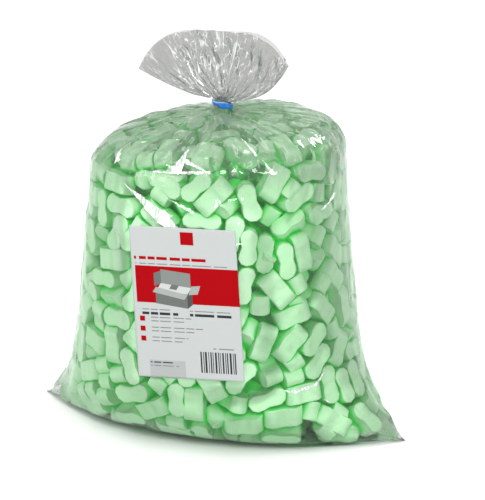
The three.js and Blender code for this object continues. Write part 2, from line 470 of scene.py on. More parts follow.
def foam_shape():
    """One foam piece, 38 by 19 by 19 mm, in fifty faces. Its outline is two lobes, seven points each, round
    centres on the long axis, joined at a waist. The outline is carried along the piece's depth, and drawn
    in at both ends for a narrow soft edge. Each point's normal is the outline's on the sides and the axis
    on the end faces."""
    a = np.radians([-114, -77, -39, 0, 39, 77, 114])
    lobe = np.stack([HALF_GAP + LOBE * np.cos(a), LOBE * np.sin(a)], -1)
    out = np.stack([np.cos(a), np.sin(a)], -1)
    outline = np.concatenate([lobe, [[0, WAIST]], -lobe, [[0, -WAIST]]])
    facing = np.concatenate([out, [[0, 1]], -out, [[0, -1]]])
    around = len(outline)
    side = np.c_[facing, np.zeros(around)]
    axis = np.tile([0.0, 0.0, 1.0], (around, 1))
    rings, normals = [], []
    for sign, inward in ((-1, 1), (-1, 0), (1, 0), (1, 1)):
        ring = outline - EDGE * inward * facing
        rings.append(np.c_[ring, np.full(around, sign * (HALF_DEPTH - EDGE * (1 - inward)))])
        normals.append(axis * sign if inward else side)
    quads = grid_faces(4, around, True)
    caps = np.stack([np.arange(around)[::-1], 3 * around + np.arange(around)])
    return np.concatenate(rings), np.concatenate(normals), quads, caps


def foam_pieces(container, place, turn, size, seed):
    """All foam pieces as one set of points, normals and faces: the shape at each settled pose, each with
    its own size, bend and stretch, and pressed flat where it would stand out of the film."""
    rng = np.random.default_rng(seed)
    shape, normal, quads, caps = foam_shape()
    n, m = len(place), len(shape)
    local = np.repeat(shape[None], n, 0) * size[:, None, None]
    wave = rng.normal(size=(n, 3, 3)) * 0.10
    phase = rng.random((n, 1, 3)) * 6.3
    local = local + 0.35 * np.sin(np.einsum("nmj,nkj->nmk", local, wave) + phase)
    bend = rng.normal(size=(n, 1)) * 0.0024
    local[..., 1] += bend * (local[..., 0] ** 2 - 130)
    stretch = 1 + 0.03 * rng.normal(size=(n, 1, 3)).clip(-1.5, 1.5)
    points = np.einsum("nij,nmj->nmi", turn, local * stretch) + place[:, None]
    normals = np.einsum("nij,mj->nmi", turn, normal)
    room, inward = container.at(points)
    points = points + np.clip(0.2 - room, 0, 6)[..., None] * inward
    points[..., 2] = np.maximum(points[..., 2], 0.6)
    start = m * np.arange(n)[:, None, None]
    quads, caps = (quads[None] + start).reshape(-1, 4), (caps[None] + start).reshape(-1, caps.shape[1])
    return points, normals, quads, caps


def face_samples(points, quads, caps):
    """Points spread over the faces: a three by three grid on each quad, and each cap's rim, half-way ring
    and middle."""
    t = np.array([0.1, 0.5, 0.9])
    u, v = (w.ravel()[:, None] for w in np.meshgrid(t, t))
    a, b, c, d = (points[quads[:, k]][:, None] for k in range(4))
    grid = a * (1 - u) * (1 - v) + b * u * (1 - v) + c * u * v + d * (1 - u) * v
    ring = points[caps]
    middle = ring.mean(1, keepdims=True)
    return np.concatenate([part.reshape(-1, 3) for part in (grid, ring, (ring + middle) / 2, middle)])


# ---------------------------------------------------------------- film


def film_levels(count):
    """Fractional row numbers that are evenly spaced along the front of the bag."""
    fine = np.linspace(0, len(RINGS) - 1, 2400)
    line = bag_point(np.full(len(fine), -np.pi / 2), fine)
    along = np.concatenate([[0], np.cumsum(np.linalg.norm(np.diff(line, axis=0), axis=1))])
    at = np.linspace(0, along[-1], count)
    return np.interp(at, along, fine), at


def surface_normals(points):
    """Outward normals of a closed-around grid of points from central differences."""
    across = np.roll(points, -1, 1) - np.roll(points, 1, 1)
    along = np.gradient(points, axis=0)
    normal = np.cross(across, along)
    return normal / np.maximum(np.linalg.norm(normal, axis=-1, keepdims=True), 1e-9)


def spread(values):
    """The mean of each grid value's four neighbours, closed around."""
    up = np.concatenate([values[1:], values[-1:]])
    down = np.concatenate([values[:1], values[:-1]])
    return (np.roll(values, 1, 1) + np.roll(values, -1, 1) + up + down) / 4


def zigzag(phase):
    """A triangle wave between -0.5 and 0.5, with a period of one: flat slopes and sharp turns."""
    return 2 * np.abs(phase - np.floor(phase) - 0.5) - 0.5


def folds(uv, seed, lengths, way=0.0):
    """Flat facets with sharp creases between them: triangle waves over the film's own coordinates in
    millimetres, one for each length. Each runs its own way and is shifted by a slower triangle wave across
    it, which breaks its creases into short straight runs."""
    rng = np.random.default_rng(seed)
    total = np.zeros(uv.shape[:-1])
    for k, length in enumerate(lengths):
        a = way + k * 2.4 + 0.5 * rng.normal()
        along, across = np.array([np.cos(a), np.sin(a)]), np.array([-np.sin(a), np.cos(a)])
        shift = 0.9 * zigzag(uv @ across / (length * 2.7) + rng.random())
        shift = shift + 0.5 * zigzag(uv @ (along + 1.7 * across) / (length * 3.9) + rng.random())
        total += zigzag(uv @ along / length + shift + rng.random()) * length
    return total / np.sum(lengths)


# Painted glints, each a white sliver on the film where a crease would catch the light: start and end as
# angle in degrees round the bag (-90 is the front) and height, then its widths there in millimetres.
GLINT_STREAKS = (
    (-118, 256, -100, 241, 0, 8),
    (-103, 243, -91, 231, 6, 14),
    (-95, 235, -85, 223, 14, 0),
    (-92, 250, -80, 242, 0.4, 3.5),
    (-102, 273, -74, 279, 1, 3.5),
    (-88, 294, -90, 276, 0, 13),
    (-97, 281, -88, 277, 0, 8),
    (-88, 286, -74, 278, 5, 0.5),
    (-135, 281, -127, 271, 0, 6.5),
    (-54, 301, -51, 292, 1, 3.5),
    (-49, 289, -45, 276, 0.5, 4),
    (-53, 279, -43, 277, 0.4, 3),
    (-47, 68, -39, 63, 0.5, 3),
    (-40, 63.5, -29, 68, 3, 3),
    (-30, 67, -22, 79, 3, 0.3),
    (-27, 53, -24, 48, 0.5, 2.5),
    (-62, 214, -55, 218, 0.4, 2),
    (-14, 232, -2, 240, 0.4, 3.5),
    (12, 130, 20, 126, 0.4, 2.5),
    (40, 246, 56, 235, 0.5, 5),
    (52, 238, 60, 226, 5, 0.4),
    (70, 190, 80, 195, 0.4, 3),
    (98, 250, 112, 257, 0.4, 4.5),
    (104, 116, 113, 111, 0.4, 2.5),
    (138, 216, 149, 223, 0.4, 3.5),
    (170, 237, 184, 228, 0.4, 5),
    (-160, 177, -152, 181, 0.4, 2.5),
)


def glint_fields(height, along):
    """The painted glints in the film's own coordinates, in metres: start, end and both widths. Each end's
    place along the film is read off the film's column at its angle."""
    columns = height.shape[1]
    fields = []
    for a0, z0, a1, z1, w0, w1 in GLINT_STREAKS:
        ends = []
        turns = np.floor(a0 / 360)
        for a, z in ((a0, z0), (a1, z1)):
            share = a / 360 - turns
            column = height[:, int(share * columns) % columns]
            body = column < NECK_FOOT
            ends.append((share * GIRTH / 1000, np.interp(z, column[body], along[body]) / 1000))
        fields.append((*ends, w0 / 1000, w1 / 1000))
    return fields


def label_frame():
    """The label's middle and its two unit edges, across and up, in millimetres. Its stiff paper lies flat:
    it is turned 3.6 degrees in its own plane, and its right-hand edge is 5 mm further back."""
    low, high = (1000 * np.array(corner) for corner in LABEL_BOX)
    middle = np.array([(low[0] + high[0]) / 2 + 4.4, low[1] + 1.0, (low[2] + high[2]) / 2 + 3.5])
    across = np.array([104.7, 5.0, 6.5])
    across /= np.linalg.norm(across)
    up = np.array([-9.2, -0.6, 147.9])
    up -= across * (across @ up)
    return middle, across, up / np.linalg.norm(up)


def label_depth(points):
    """The depth of the label's plane at points, and how far they lie outside the label's outline."""
    middle, across, up = label_frame()
    out = np.cross(across, up)
    off = points - middle
    depth = middle[1] - (off[..., 0] * out[0] + off[..., 2] * out[2]) / out[1]
    u, v = off @ across, off @ up
    beyond = np.stack([np.abs(u) - LABEL_SIZE[0] / 2, np.abs(v) - LABEL_SIZE[1] / 2], -1)
    return depth, np.linalg.norm(np.maximum(beyond, 0), axis=-1)


def flare_share(level):
    """How far up the flare a row of the film lies: 0 at the tie and 1 at the mouth."""
    start = FLARE_LEVEL - 0.5
    return np.clip((level - start) / (len(RINGS) - 1 - start), 0, 1)


def calm_patches(level, angle):
    """Where the flare's film stays smooth: a patch near each of its ends, in the half next to the mouth."""
    middle, spread_out = 0.76, 0.10
    by_end = np.exp(-(((np.abs(np.cos(angle))[None] - middle) / spread_out) ** 2))
    return by_end * smoothstep(flare_share(level)[:, None], 0.5, 0.75)


def film_surface(foam, columns=400, rows=248):
    """The film as a grid of points: the bag's skin, drawn in over the foam pieces and then pleated."""
    level, along = film_levels(rows)
    angle = 2 * np.pi * np.arange(columns) / columns
    tier, turn = level[:, None], angle[None] / (2 * np.pi)
    points = bag_point(angle[None], tier)
    normal = surface_normals(points)
    height = points[..., 2]
    # What the foam allows: how far in the film may go at each grid point before it meets a piece.
    limit = np.full(points.shape[:2], 6.0)
    # The nearest grid point is looked for on every fourth row and sixth column, then stepped to from there.
    down, over = 4, 6
    coarse = points[::down, ::over]
    flat = coarse.reshape(-1, 3)
    flat_normal = normal[::down, ::over].reshape(-1, 3)
    step_across = (np.roll(points, -1, 1) - np.roll(points, 1, 1))[::down, ::over].reshape(-1, 3) / 2
    step_along = np.gradient(points, axis=0)[::down, ::over].reshape(-1, 3)
    square = (flat**2).sum(1)
    for k in range(0, len(foam), 4096):
        part = foam[k : k + 4096]
        near = (square - 2 * part @ flat.T).argmin(1)
        off = part - flat[near]
        depth = -(off * flat_normal[near]).sum(1)
        keep = depth < 9
        near, off, depth = near[keep], off[keep], depth[keep]
        da = (off * step_across[near]).sum(1) / np.maximum((step_across[near] ** 2).sum(1), 1e-6)
        db = (off * step_along[near]).sum(1) / np.maximum((step_along[near] ** 2).sum(1), 1e-6)
        da, db = (np.round(np.clip(d, -most, most)).astype(int) for d, most in ((da, over), (db, down)))
        row = np.clip((near // coarse.shape[1]) * down + db, 0, rows - 1)
        column = ((near % coarse.shape[1]) * over + da) % columns
        np.minimum.at(limit, (row, column), depth)
    for _ in range(2):
        limit = np.minimum.reduce([limit, np.roll(limit, 1, 1), np.roll(limit, -1, 1)])
        limit[1:-1] = np.minimum.reduce([limit[1:-1], limit[2:], limit[:-2]])
    limit -= 0.5
    body = smoothstep(along[:, None], 6, 40) * (1 - smoothstep(height, NECK_FOOT - 8, NECK_FOOT - 1))
    inset = np.minimum(limit, 0)
    most = 3.4 - 2.5 * smoothstep(height, SHOULDER, SHOULDER + 48)
    for _ in range(260):
        inset = np.minimum(spread(inset) + 0.03, np.minimum(limit, most))
    inset = inset * body
    inset = np.where(height < 4, np.minimum(inset, height - 0.25), inset)
    inset[0] = 0
    uv = np.stack(np.broadcast_arrays(turn * GIRTH, along[:, None]), -1)
    points = points - normal * inset[..., None]
    # Pleats that run down from the neck, and up into the flare.
    rng = np.random.default_rng(5)
    wobble = sum(rng.normal() * np.sin(k * angle + rng.random() * 6.3) for k in range(1, 7)) * 0.35
    to_neck = np.hypot(points[..., 0] - NECK_LEAN, points[..., 1])
    pleat = zigzag(30 * turn + 0.16 * wobble[None])
    minor = zigzag(47 * turn - 0.2 * wobble[None] + 0.3)
    top = smoothstep(height, SHOULDER, SHOULDER + 56)
    top = top * (1 - smoothstep(tier, NECK_LEVEL, NECK_LEVEL + 1))
    reach = smoothstep(125 - to_neck, 0, 80)
    amount = top * reach * np.clip(to_neck * 0.04, 0, 1.7)
    points = points + normal * ((pleat + 0.6 * minor) * amount)[..., None]
    # Long straight folds in the body, which run towards the neck.
    crumple = folds(uv * [1, 0.36], 3, [44, 30, 21, 14])
    loose = 1.2 + 2.6 * top * smoothstep(to_neck, 8, 40)
    points = points + normal * (crumple * loose)[..., None] * body[..., None]
    # Under the label the film is held flat, and it runs back to its own shape within 28 mm of the edges.
    depth, beyond = label_depth(points)
    held = (1 - smoothstep(beyond, 1, 28)) * (points[..., 1] < -50)
    points[..., 1] += held * (depth + 0.9 - points[..., 1])
    # The flare: strong folds fan out from the tie and die away towards the mouth, whose edge is smooth. The
    # two ends, where the tube turns back on itself, stay flat.
    flare = smoothstep(tier, FLARE_LEVEL - 0.8, FLARE_LEVEL + 0.6)
    share = flare_share(level)[:, None]
    inner = (1 - np.abs(np.cos(angle[None])) ** 8) * (1 - 0.6 * calm_patches(level, angle))
    fan = flare * inner * (0.7 + 9 * share * (1 - share) ** 1.9)
    rough = folds(uv, 8, [58, 38, 25, 17, 11, 8], 0.7)
    crush = flare * share * (1 - 0.72 * share) * (0.25 + 0.75 * inner)
    # The right-hand fold of the flare bellies out low down, and the mouth has fallen shut.
    belly = flare * np.sin(np.pi * share**0.6) * smoothstep(np.cos(angle[None]), 0.0, 1.0)
    points = points + belly[..., None] * [9, 0, -3]
    points[..., 1] *= 1 - 0.84 * flare * smoothstep(share, 0.15, 0.9)
    points = points + normal * (pleat * fan + minor * fan * 0.6 + rough * 15 * crush)[..., None]
    points[..., 2] += flare * share**3 * (1.2 * np.sin(3 * angle[None] + 0.7) + 0.8 * zigzag(7 * turn))
    # The throat under the tie is fluted.
    neck = smoothstep(tier, NECK_LEVEL - 0.8, NECK_LEVEL)
    neck = neck * (1 - smoothstep(tier, FLARE_LEVEL - 0.6, FLARE_LEVEL + 0.4))
    centre = np.array([NECK_LEAN, 0])
    squeeze = 1 + neck * (0.10 * np.sin(17 * angle)[None] + 0.05 * np.sin(29 * angle + 1)[None])
    points[..., :2] = centre + (points[..., :2] - centre) * squeeze[..., None]
    points[..., 2] = np.maximum(points[..., 2], 0.15)
    return points, level, along, glint_fields(height, along)


# ---------------------------------------------------------------- materials


def foam_material(colours):
    """Expanded polystyrene foam, extruded and cut: closed cells under a millimetre give a matte, faintly
    sparkling skin. Light goes some way into it; the strong green in the narrow gaps between pieces is painted
    shade with a faint painted glow."""
    mat, tree = new_material("expanded_polystyrene_foam")
    place = node(tree, "ShaderNodeTexCoord").outputs["Object"]
    tone = maths(tree, "MULTIPLY_ADD", noise(tree, place, 38.0, 2.0), 0.6, -0.1)
    tone = maths(tree, "MULTIPLY_ADD", attribute(tree, "piece_tone"), 0.4, tone)
    light, deep, gap = ((*c, 1) for c in (colours.foam_light, colours.foam_deep, colours.foam_gap_painted_shade))
    skin = blend(tree, tone, light, deep)
    # Where the painted shade goes: how shut in a place is, out to 9 mm, and how far it lies behind the film.
    near = {"only_local": True, "samples": 8}
    shut = node(tree, "ShaderNodeAmbientOcclusion", near, Distance=0.009).outputs["AO"]
    shut = remap(tree, shut, 0.86, 0.22, how="SMOOTHSTEP")
    behind = remap(tree, attribute(tree, "depth"), 4.0, 19.0, how="SMOOTHSTEP")
    # Painted shade and glow: the larger of these two masks paints the strong gap green and a faint green
    # emission.
    painted_gap_green = maths(tree, "MAXIMUM", shut, behind)
    # Cells of about 0.7 mm, drawn at 1.2 mm so that they show, and dents of about 6 mm.
    cells = node(tree, "ShaderNodeTexVoronoi", i0=place, Scale=820.0).outputs["Distance"]
    bump = bumped(tree, 0.25, 0.0004, cells)
    bump = bumped(tree, 0.4, 0.0011, noise(tree, place, 170.0, 3.0), bump)
    # A painted glow stands in for the little light on the outer pieces that soaks through them into the gaps.
    face = node(
        tree,
        "ShaderNodeBsdfPrincipled",
        Base_Color=blend(tree, painted_gap_green, skin, gap),
        Roughness=0.62,
        Specular_IOR_Level=0.3,
        Normal=bump,
        Emission_Color=(0.03, 0.6, 0.1, 1),
        Emission_Strength=maths(tree, "MULTIPLY", painted_gap_green, 0.05),
    )
    output(tree, face.outputs[0])
    return mat


def hairlines(tree, uv, stretch, scale, width):
    """White hairlines where film is sharply creased, partly whitening and partly painted highlight: the
    borders of crumpled cells, 1 on a border and 0 beyond the given width in cells, fading in and out along
    their length."""
    long_uv = stretched(tree, uv, 1.0, stretch)
    sway = noise(tree, long_uv, scale * 0.7, 1.0, pick="Color")
    bent = vector_maths(tree, "MULTIPLY_ADD", sway, (0.3 / scale,) * 3, long_uv)
    border = node(tree, "ShaderNodeTexVoronoi", {"feature": "DISTANCE_TO_EDGE"}, i0=bent, Scale=scale)
    line = remap(tree, border.outputs["Distance"], 0.0, width, 1.0, 0.0)
    return maths(tree, "MULTIPLY", line, remap(tree, noise(tree, uv, scale * 1.1, 1.0), 0.47, 0.60))


def slivers(tree, uv, fields):
    """Slim straight shapes, 1 inside and 0 outside, whose width runs evenly from one end's to the other's.
    Their edges are a little ragged."""
    rough = vector_maths(tree, "SUBTRACT", noise(tree, uv, 260.0, 2.0, pick="Color"), (0.5, 0.5, 0.5))
    rough = vector_maths(tree, "MULTIPLY_ADD", rough, (0.0034,) * 3, uv)
    total = 0.0
    for (u0, v0), (u1, v1), w0, w1 in fields:
        du, dv = u1 - u0, v1 - v0
        square = du * du + dv * dv
        length = math.sqrt(square)
        off = vector_maths(tree, "SUBTRACT", rough, (u0, v0, 0))
        share = vector_maths(tree, "DOT_PRODUCT", off, (du / square, dv / square, 0))
        aside = vector_maths(tree, "DOT_PRODUCT", off, (-dv / length, du / length, 0))
        half = maths(tree, "MULTIPLY_ADD", share, (w1 - w0) / 2, w0 / 2)
        inside_ends = maths(tree, "COMPARE", share, 0.5, 0.5)
        total = maths(tree, "MULTIPLY_ADD", inside_ends, maths(tree, "COMPARE", aside, 0.0, half), total)
    return total


def film_material(colours, creases):
    """Polyethylene film, blown and 0.05 mm thick: almost clear face on, with a sheen where it turns away.
    Gathered film has a grey haze, and white hairlines along its sharp creases, partly whitening and partly
    painted highlight. White slivers at listed places are painted glints. The seal's weld is milky."""
    mat, tree = new_material("polyethylene_film")
    uv = node(tree, "ShaderNodeUVMap", {"uv_map": "UVMap"}).outputs[0]
    slack, crumpled = attribute(tree, "slack"), attribute(tree, "crumpled")
    # Crinkles: sharp ridges about 30 mm apart that run along the film, facets of 20 mm and fine ridges of
    # 10 mm.
    ridged = {"noise_type": "RIDGED_MULTIFRACTAL", "normalize": True}
    wide = noise(tree, stretched(tree, uv, 1.0, 0.42), 34.0, 3.0, ridged, 0.6)
    facets = node(tree, "ShaderNodeTexVoronoi", {"feature": "F1"}, i0=uv, Scale=52.0, Randomness=1.0)
    fine = noise(tree, uv, 95.0, 4.0, ridged, 1.2)
    strength = maths(tree, "MULTIPLY_ADD", crumpled, 0.40, 0.20)
    bump = bumped(tree, strength, 0.0045, wide)
    bump = bumped(tree, strength, 0.0030, facets.outputs["Distance"], bump)
    bump = bumped(tree, strength, 0.0011, fine, bump)
    gloss = node(tree, "ShaderNodeBsdfGlossy", Color=(0.96, 0.98, 0.97, 1), Roughness=0.06, Normal=bump)
    through = blend(tree, slack, (*colours.film_clear, 1), (*colours.film_slack, 1))
    clear = node(tree, "ShaderNodeBsdfTransparent", Color=through)
    # Whitening and painted highlights: hairlines in gathered film, long ones 16 mm apart and short ones 10 mm
    # apart.
    long_lines, short_lines = hairlines(tree, uv, 0.22, 62.0, 0.075), hairlines(tree, uv, 1.2, 104.0, 0.085)
    lines = maths(tree, "MAXIMUM", long_lines, short_lines)
    lines = maths(tree, "MULTIPLY", lines, remap(tree, crumpled, 0.0, 0.95, 0.02, 0.75))
    # The painted glints, white slivers at listed places, are streaked along their length.
    streak = remap(tree, noise(tree, stretched(tree, uv, 1.0, 0.3, 0.7), 420.0, 1.0), 0.3, 0.62, 0.95, 0.5)
    painted_glints = maths(tree, "MULTIPLY", slivers(tree, uv, creases), streak)
    # The weld runs 10 mm above the cut edge, 1.6 mm wide and milky.
    up = node(tree, "ShaderNodeSeparateXYZ", i0=uv).outputs["Y"]
    weld = maths(tree, "COMPARE", up, 0.010, 0.0008)
    # The white haze: the weld's milkiness, the hairlines' whitening and painted highlights, and the painted
    # glints.
    white = maths(tree, "MAXIMUM", maths(tree, "MULTIPLY_ADD", weld, 0.4, lines), painted_glints, clamp=True)
    tone = blend(tree, white, (*colours.film_haze, 1), (*colours.film_whitening_and_glint, 1))
    haze = node(tree, "ShaderNodeBsdfDiffuse", Color=tone, Normal=bump)
    veil = maths(tree, "MAXIMUM", maths(tree, "MULTIPLY", slack, 0.30), white)
    body = node(tree, "ShaderNodeMixShader", i0=veil, i1=clear.outputs[0], i2=haze.outputs[0]).outputs[0]
    sheen = node(tree, "ShaderNodeFresnel", IOR=1.36, Normal=bump).outputs[0]
    output(tree, node(tree, "ShaderNodeMixShader", i0=sheen, i1=body, i2=gloss.outputs[0]).outputs[0])
    return mat


def paper_material(colours):
    """Coated label paper, printed flat: a near white sheet with a soft sheen, fields of red and grey
    ink."""
    mat, tree = new_material("coated_label_paper")
    uv = node(tree, "ShaderNodeUVMap", {"uv_map": "UVMap"}).outputs[0]
    dull = tuple(c * 0.96 for c in colours.paper)
    colour = blend(tree, noise(tree, uv, 900.0, 2.0), (*dull, 1), (*colours.paper, 1))
    # Rules made of plain dashes, 2 to 6 mm long, whose ends are square.
    dash = maths(tree, "LESS_THAN", noise(tree, stretched(tree, uv, 1.0, 0.0), 230.0, 0.0), 0.60)
    for field, ink, dashed in label_print(colours):
        colour = printed(tree, uv, colour, field, ink, dash if dashed else None)
    bump = bumped(tree, 0.25, 0.0012, noise(tree, uv, 28.0, 1.0))
    shader = node(
        tree,
        "ShaderNodeBsdfPrincipled",
        Base_Color=colour,
        Roughness=0.42,
        Specular_IOR_Level=0.05,
        Normal=bump,
    )
    output(tree, shader.outputs[0])
    return mat


def printed(tree, uv, under, field, ink, dash):
    """One field of ink over what is under it: a parallelogram from a corner and two edges, in millimetres
    from the label's lower left. A point's shares along both edges lie between 0 and 1 inside it."""
    x, y, ax, ay, bx, by = field
    det = ax * by - ay * bx
    off = vector_maths(tree, "SUBTRACT", uv, (x / 1000, y / 1000, 0))
    mask = 1.0 if dash is None else dash
    for way in ((by, -bx, 0), (-ay, ax, 0)):
        share = vector_maths(tree, "DOT_PRODUCT", off, tuple(1000 * w / det for w in way))
        mask = maths(tree, "MULTIPLY", mask, maths(tree, "COMPARE", share, 0.5, 0.5))
    return blend(tree, mask, under, ink)


def label_print(colours):
    """The printed fields, each a corner with two edges, an ink, and whether it is dashed: a plain square, a
    dashed headline, a red panel with a plain open carton on it, dashed rules with red ticks, a grey panel,
    plain bars."""
    red, dark = (*colours.red_ink, 1), (*colours.dark_ink, 1)
    grey, pale, rule = linear("#5C605D"), linear("#8D918E"), linear("#6E7270")
    fields = []

    def box(x, y, width, height, ink, dashed=False):
        fields.append(((x, y, width, 0, 0, height), ink, dashed))

    def slant(x, y, ax, ay, bx, by, ink):
        fields.append(((x, y, ax, ay, bx, by), ink, False))

    box(50, 131.5, 13, 12.5, red)
    box(3, 115.6, 71, 3.0, red, True)
    box(4, 111.0, 91, 1.0, rule, True)
    box(3.4, 73.4, 103, 36.0, red)
    # The carton: back wall, left flap, front, right side, filling, front flap, right flap.
    slant(28.5, 92.5, 29, -3.0, 0, 14, linear("#717672"))
    slant(21.5, 90.0, 7, 2.5, 0, 12.5, grey)
    slant(22.5, 73.0, 31, -4.0, 0, 15, grey)
    slant(53.5, 69.0, 5, 4.0, 0, 15, linear("#424643"))
    slant(24, 86.5, 30, -3.5, 4, 6.5, linear("#ABAFAC"))
    slant(36, 87.8, 7, -1, 3, 4.5, grey)
    slant(19.5, 84.0, 31, -6.5, 3.5, 5.0, pale)
    slant(55.0, 82.5, 9, 1.0, 3, 8.5, pale)
    box(5, 66.3, 32, 1.0, rule, True)
    box(5.5, 61.6, 38, 2.6, dark, True)
    box(55, 66.3, 40, 1.0, rule, True)
    box(55, 61.6, 41, 2.6, dark, True)
    for y, length in ((53, 41), (43.2, 52), (33.4, 37)):
        box(5.2, y + 2, 5.0, 5.0, red)
        box(15, y + 5.6, length, 1.0, rule, True)
        box(15, y + 2, length * 0.84, 1.0, rule, True)
    box(12, 0, 35.5, 17, linear("#959998"))
    box(13, 14.2, 22, 1.2, dark, True)
    box(13, 11.0, 28, 1.0, rule, True)
    box(76, 30.2, 21, 1.2, rule, True)
    x = 62.8
    for k, width in enumerate((1.5, 0.8, 1.9, 0.7, 1.3, 0.8, 1.8, 1.0, 0.7, 1.6, 0.8, 1.2, 1.9, 0.8, 1.3)):
        box(x, 6.7, width, 20.6, dark)
        x += width + (1.3, 0.9, 1.5)[k % 3]
    return fields


def tie_material(colours):
    """Soft vinyl, extruded and pinched: a bright even blue with a satin gloss, paler where it is stretched
    thin, and with a painted highlight along its upper rim."""
    mat, tree = new_material("soft_vinyl")
    place = node(tree, "ShaderNodeTexCoord").outputs["Object"]
    patch = remap(tree, noise(tree, place, 210.0, 2.0), 0.38, 0.62)
    tint = blend(tree, patch, (*colours.tie, 1), (*colours.tie_pale, 1))
    # Painted highlight: the upper rim is paler, over 1.5 mm.
    up = node(tree, "ShaderNodeSeparateXYZ", i0=place).outputs["Z"]
    rim = TIE_BOX[1][2]
    tint = blend(tree, remap(tree, up, rim - 0.0012, rim + 0.0003), tint, linear("#8FB8E8"))
    look = {"Roughness": 0.3, "Coat Weight": 0.2, "Normal": bumped(tree, 0.4, 0.0008, patch)}
    output(tree, node(tree, "ShaderNodeBsdfPrincipled", Base_Color=tint, **look).outputs[0])
    return mat


# ---------------------------------------------------------------- settings


def colour(name, description, value):
    """A colour property, its default given as sRGB hex."""
    settings = {"subtype": "COLOR", "size": 3, "min": 0, "max": 1}
    return FloatVectorProperty(name=name, description=description, default=linear(value)[:3], **settings)


class PeanutBagColours(bpy.types.PropertyGroup):
    """Colours of the bag's materials."""

    foam_light: colour("Foam", "Foam where light falls on it", "#C6EBC6")
    foam_deep: colour("Foam, other tone", "Foam tone that varies from piece to piece", "#B3E4B5")
    # The gap green is painted shade with a faint painted glow, not the foam's own colour.
    foam_gap_painted_shade: colour("Foam gaps, painted shade", "Foam deep between other pieces", "#00D43A")
    film_clear: colour("Film", "What tight film lets through", "#FAFBFA")
    film_slack: colour("Slack film", "What gathered film lets through", "#DADAD9")
    film_haze: colour("Film haze", "The tone of gathered film's haze", "#7E7F7D")
    # The white of the weld and of whitened creases, and also of the painted highlights and glints.
    film_whitening_and_glint: colour("Film whitening and painted glints", "The tone of whitened creases, painted highlights and glints", "#F6FAF8")
    paper: colour("Paper", "Label paper", "#A5A9A8")
    red_ink: colour("Red ink", "Main ink of the label", "#900008")
    dark_ink: colour("Dark ink", "Second ink of the label", "#2A2D30")
    tie: colour("Tie", "Blue vinyl", "#063B75")
    tie_pale: colour("Tie, stretched", "Blue vinyl where it is stretched", "#0C66B2")


class PeanutBagSizes(bpy.types.PropertyGroup):
    """Sizes and counts of the bag's pieces."""

    foam_count: IntProperty(name="Foam pieces", description="Pieces in the bag", default=720, min=50, max=900)
    settle_steps: IntProperty(name="Settling", description="Steps of settling", default=380, min=20, max=900)
    camera_distance: FloatProperty(
        name="Camera distance", description="Bag to camera", default=8.0, min=1.0, max=20.0, unit="LENGTH"
    )
    camera_azimuth: FloatProperty(
        name="Camera azimuth", description="Right of the front", default=math.radians(22), unit="ROTATION"
    )
    camera_elevation: FloatProperty(
        name="Camera elevation", description="Height of view", default=math.radians(19), unit="ROTATION"
    )


# ---------------------------------------------------------------- operators

STATE = {}
FLOOR_HALF = 6000.0  # millimetres
WORLD_STRENGTH = 1.0
# Each softbox: name, place and size in metres, power in watts.
SOFTBOXES = (
    ("key", (1.0, -2.3, 2.0), 0.8, 47),
    ("fill", (-2.1, -1.7, 1.2), 0.8, 11),
    ("back", (0.9, 2.2, 2.2), 0.7, 36),
)
# What the camera looks at, right of and above the origin in its own plane, and how much it sees across, in
# metres.
AIM_RIGHT, AIM_UP, VIEW_WIDTH = 0.0171, 0.1584, 0.4744


class PEANUTBAG_OT_foam(bpy.types.Operator):
    """Settles the foam pieces inside the bag"""

    bl_idname = "peanut_bag.foam"
    bl_label = "Foam Pieces"

    def execute(self, context):
        sizes = context.scene.peanut_bag_sizes
        steps = sizes.settle_steps
        container = Container()
        place, turn, size = settle(container, sizes.foam_count, steps, 11)
        points, normals, quads, caps = foam_pieces(container, place, turn, size, 12)
        flat = points.reshape(-1, 3)
        samples = face_samples(flat, quads, caps)
        STATE["foam"] = samples[container.at(samples)[0] < 14]
        obj = put_mesh("foam_peanuts", flat, quads.tolist() + caps.tolist())
        obj.data.normals_split_custom_set_from_vertices(normals.reshape(-1, 3).tolist())
        rng = np.random.default_rng(13)
        tone = np.repeat(rng.random(len(place)), points.shape[1])
        # How deep each point lies in the fill; the foam material paints shade and a faint glow where it is
        # deep.
        depth = np.clip(container.at(flat)[0], 0, 40)
        for name, value in (("piece_tone", tone), ("depth", depth)):
            layer = obj.data.attributes.new(name, "FLOAT", "POINT")
            layer.data.foreach_set("value", value.astype(np.float32))
        obj.data.materials.append(foam_material(context.scene.peanut_bag_colours))
        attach(obj, "root")
        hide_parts("peanut_fill")
        return {"FINISHED"}


